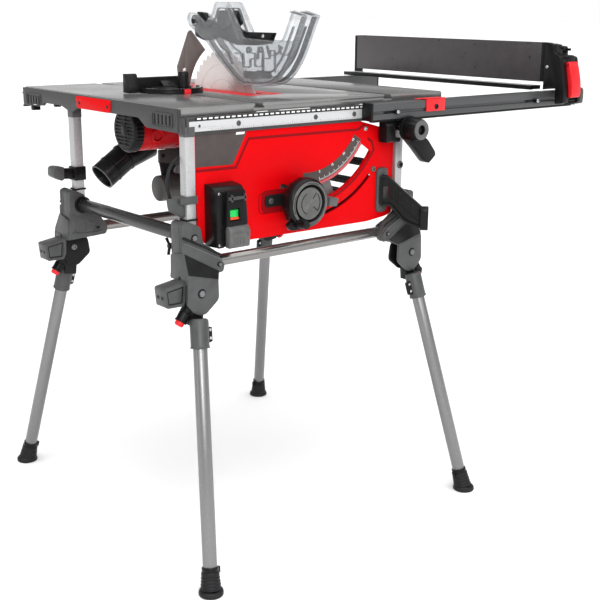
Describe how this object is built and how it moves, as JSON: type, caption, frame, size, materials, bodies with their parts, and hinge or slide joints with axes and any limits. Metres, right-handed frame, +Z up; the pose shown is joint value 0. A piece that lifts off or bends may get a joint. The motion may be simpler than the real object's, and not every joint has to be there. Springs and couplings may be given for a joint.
{
  "type": "table saw",
  "caption": "Portable table saw on a folding four-leg stand with tilting blade, guard, mitre gauge, handwheel and sliding rip-fence rails.",
  "frame": {"origin": "on the floor under the middle of the whole saw with its rails drawn out", "axes": "+X right along the front rail, +Y from the operator to the back, +Z up"},
  "size_m": [1.2955, 0.8865, 1.1079],
  "materials": {
    "table_metal": "machined top, painted skirts, satin",
    "steel_tube": "satin",
    "dark_plastic": "fine grain",
    "bracket_metal": "die-cast, painted satin black",
    "red_paint": "semi-gloss",
    "red_plastic": "semi-gloss",
    "rubber_black": "matt",
    "rail_alu": "dark anodised",
    "silver_alu": "satin",
    "cast_alu": "cast",
    "blade_steel": "ground, satin",
    "dark_steel": "black",
    "fence_alu": "extruded, hammered black paint",
    "clear_guard": "clear plastic",
    "green_switch": "glossy",
    "grey_plastic": "satin"
  },
  "bodies": {
    "stand": {"table_top": "table_metal", "throat_plate": "red_plastic", "front_rail_fixed": "silver_alu", "front_panel": "red_paint", "switch_box": "dark_plastic", "cord_hook": "dark_plastic", "rail_bearing": "dark_plastic", "dust_port": "dark_plastic", "upright_fl": "steel_tube", "upright_fr": "steel_tube", "upright_rl": "steel_tube", "upright_rr": "steel_tube", "bracket_fl": "bracket_metal", "bracket_fr": "bracket_metal", "bracket_rl": "bracket_metal", "bracket_rr": "bracket_metal", "lower_tube_front": "steel_tube", "lower_tube_rear": "steel_tube", "lower_tube_left": "steel_tube", "lower_tube_right": "steel_tube"},
    "leg_fl": {"leg_fl_head": "dark_plastic", "leg_fl_tube": "steel_tube", "leg_fl_foot": "rubber_black"},
    "leg_fr": {"leg_fr_head": "dark_plastic", "leg_fr_tube": "steel_tube", "leg_fr_foot": "rubber_black"},
    "leg_rl": {"leg_rl_head": "dark_plastic", "leg_rl_tube": "steel_tube", "leg_rl_foot": "rubber_black"},
    "leg_rr": {"leg_rr_head": "dark_plastic", "leg_rr_tube": "steel_tube", "leg_rr_foot": "rubber_black"},
    "button_fl": {"leg_fl_button": "red_plastic"},
    "button_fr": {"leg_fr_button": "red_plastic"},
    "button_rl": {"leg_rl_button": "red_plastic"},
    "button_rr": {"leg_rr_button": "red_plastic"},
    "carriage": {"tilt_carriage": "cast_alu"},
    "height": {"motor_unit": "red_plastic", "riving_knife": "dark_steel", "guard_spine": "dark_plastic"},
    "lift_screw": {"lift_screw": "steel_tube"},
    "handwheel": {"handwheel": "dark_plastic"},
    "crank": {"crank_knob": "dark_plastic"},
    "bevel_lock": {"bevel_lock": "dark_plastic"},
    "blade": {"blade": "blade_steel"},
    "guard_left": {"guard_left": "clear_guard"},
    "guard_right": {"guard_right": "clear_guard"},
    "front_rail": {"front_rail": "rail_alu"},
    "rear_rail": {"rear_rail": "rail_alu"},
    "rail_knob": {"rail_knob": "dark_plastic"},
    "rail_lock": {"rail_lock_lever": "dark_plastic"},
    "fence": {"fence_beam": "fence_alu", "fence_head": "dark_plastic"},
    "latch": {"fence_latch": "red_plastic"},
    "ledge": {"fence_ledge": "dark_plastic"},
    "miter": {"miter_bar": "steel_tube"},
    "miter_head": {"miter_head": "dark_plastic"},
    "miter_knob": {"miter_knob": "dark_plastic"},
    "rocker": {"switch_rocker": "green_switch"},
    "paddle": {"stop_paddle": "grey_plastic"}
  },
  "joints": [
    {"name": "leg_fl_fold", "type": "hinge", "parent": "stand", "child": "leg_fl", "pos_m": [-0.5468, -0.2762, 0.564], "axis": [0, -1, 0], "range_deg": [0, 88]},
    {"name": "leg_fr_fold", "type": "hinge", "parent": "stand", "child": "leg_fr", "pos_m": [0.0302, -0.2762, 0.564], "axis": [0, 1, 0], "range_deg": [0, 97]},
    {"name": "leg_rl_fold", "type": "hinge", "parent": "stand", "child": "leg_rl", "pos_m": [-0.5468, 0.2368, 0.564], "axis": [0, -1, 0], "range_deg": [0, 88]},
    {"name": "leg_rr_fold", "type": "hinge", "parent": "stand", "child": "leg_rr", "pos_m": [0.0302, 0.2368, 0.564], "axis": [0, 1, 0], "range_deg": [0, 97]},
    {"name": "leg_fl_release", "type": "slide", "parent": "leg_fl", "child": "button_fl", "axis": [0.6, 0, 0.8], "range_m": [0, 0.004], "stiffness_N_per_m": 600, "springref_m": -0.002},
    {"name": "leg_fr_release", "type": "slide", "parent": "leg_fr", "child": "button_fr", "axis": [-0.6, 0, 0.8], "range_m": [0, 0.004], "stiffness_N_per_m": 600, "springref_m": -0.002},
    {"name": "leg_rl_release", "type": "slide", "parent": "leg_rl", "child": "button_rl", "axis": [0.6, 0, 0.8], "range_m": [0, 0.004], "stiffness_N_per_m": 600, "springref_m": -0.002},
    {"name": "leg_rr_release", "type": "slide", "parent": "leg_rr", "child": "button_rr", "axis": [-0.6, 0, 0.8], "range_m": [0, 0.004], "stiffness_N_per_m": 600, "springref_m": -0.002},
    {"name": "blade_tilt", "type": "hinge", "parent": "stand", "child": "carriage", "pos_m": [-0.2383, -0.0197, 0.915], "axis": [0, -1, 0], "range_deg": [0, 45]},
    {"name": "blade_height", "type": "slide", "parent": "carriage", "child": "height", "axis": [0, 0, 1], "range_m": [-0.089, 0]},
    {"name": "lift_screw_spin", "type": "hinge", "parent": "carriage", "child": "lift_screw", "pos_m": [-0.2793, -0.2077, 0.78], "axis": [0, 0, 1], "range_deg": [-2700, 0]},
    {"name": "handwheel_spin", "type": "hinge", "parent": "carriage", "child": "handwheel", "pos_m": [-0.2793, -0.2797, 0.7115], "axis": [0, 1, 0], "range_deg": [-2700, 0]},
    {"name": "crank_knob_spin", "type": "hinge", "parent": "handwheel", "child": "crank", "pos_m": [-0.3063, -0.3097, 0.6735], "axis": [0, 1, 0], "continuous": true},
    {"name": "bevel_lock_turn", "type": "hinge", "parent": "carriage", "child": "bevel_lock", "pos_m": [-0.2793, -0.2637, 0.7115], "axis": [0, 1, 0], "range_deg": [0, 25]},
    {"name": "blade_spin", "type": "hinge", "parent": "height", "child": "blade", "pos_m": [-0.2323, 0.0653, 0.877], "axis": [1, 0, 0], "continuous": true},
    {"name": "guard_left_pivot", "type": "hinge", "parent": "height", "child": "guard_left", "pos_m": [-0.2323, 0.1503, 1.065], "axis": [-1, 0, 0], "range_deg": [0, 24]},
    {"name": "guard_right_pivot", "type": "hinge", "parent": "height", "child": "guard_right", "pos_m": [-0.2323, 0.1503, 1.065], "axis": [-1, 0, 0], "range_deg": [0, 24]},
    {"name": "rail_slide", "type": "slide", "parent": "stand", "child": "front_rail", "axis": [1, 0, 0], "range_m": [-0.3, 0]},
    {"name": "rear_rail_slide", "type": "slide", "parent": "stand", "child": "rear_rail", "axis": [1, 0, 0], "range_m": [-0.3, 0]},
    {"name": "rail_knob_turn", "type": "hinge", "parent": "stand", "child": "rail_knob", "pos_m": [0.0177, -0.2997, 0.843], "axis": [0, 1, 0], "range_deg": [-1000, 0]},
    {"name": "rail_lock_turn", "type": "hinge", "parent": "stand", "child": "rail_lock", "pos_m": [0.0177, -0.2897, 0.843], "axis": [0, 1, 0], "range_deg": [0, 35]},
    {"name": "fence_lift", "type": "slide", "parent": "front_rail", "child": "fence", "axis": [0, 0, 1], "range_m": [0, 0.06]},
    {"name": "fence_latch_turn", "type": "hinge", "parent": "fence", "child": "latch", "pos_m": [0.5567, -0.3092, 0.968], "axis": [-1, 0, 0], "range_deg": [0, 60]},
    {"name": "fence_ledge_flip", "type": "hinge", "parent": "fence", "child": "ledge", "pos_m": [0.5165, 0.0973, 0.9101], "axis": [0, 1, 0], "range_deg": [0, 90]},
    {"name": "miter_slide", "type": "slide", "parent": "stand", "child": "miter", "axis": [0, 1, 0], "range_m": [-0.2, 0.08]},
    {"name": "miter_angle", "type": "hinge", "parent": "miter", "child": "miter_head", "pos_m": [-0.3613, 0.0953, 0.921], "axis": [0, 0, 1], "range_deg": [-60, 60]},
    {"name": "miter_knob_turn", "type": "hinge", "parent": "miter_head", "child": "miter_knob", "pos_m": [-0.3613, 0.0333, 0.94], "axis": [0, 0, 1], "continuous": true},
    {"name": "switch_rocker_tilt", "type": "hinge", "parent": "stand", "child": "rocker", "pos_m": [-0.4673, -0.2837, 0.7105], "axis": [1, 0, 0], "range_deg": [0, 12]},
    {"name": "stop_paddle_lift", "type": "hinge", "parent": "stand", "child": "paddle", "pos_m": [-0.4563, -0.2922, 0.684], "axis": [-1, 0, 0], "range_deg": [0, 35]}
  ],
  "couplings": [
    {"joint": "handwheel_spin", "follows": "blade_height", "rad_per_m": 494.74},
    {"joint": "lift_screw_spin", "follows": "blade_height", "rad_per_m": 494.74},
    {"joint": "guard_left_pivot", "follows": "blade_height", "rad_per_m": -4.51},
    {"joint": "guard_right_pivot", "follows": "blade_height", "rad_per_m": -4.51},
    {"joint": "rear_rail_slide", "follows": "rail_slide", "ratio": 1},
    {"joint": "rail_knob_turn", "follows": "rail_slide", "rad_per_m": 55}
  ]
}
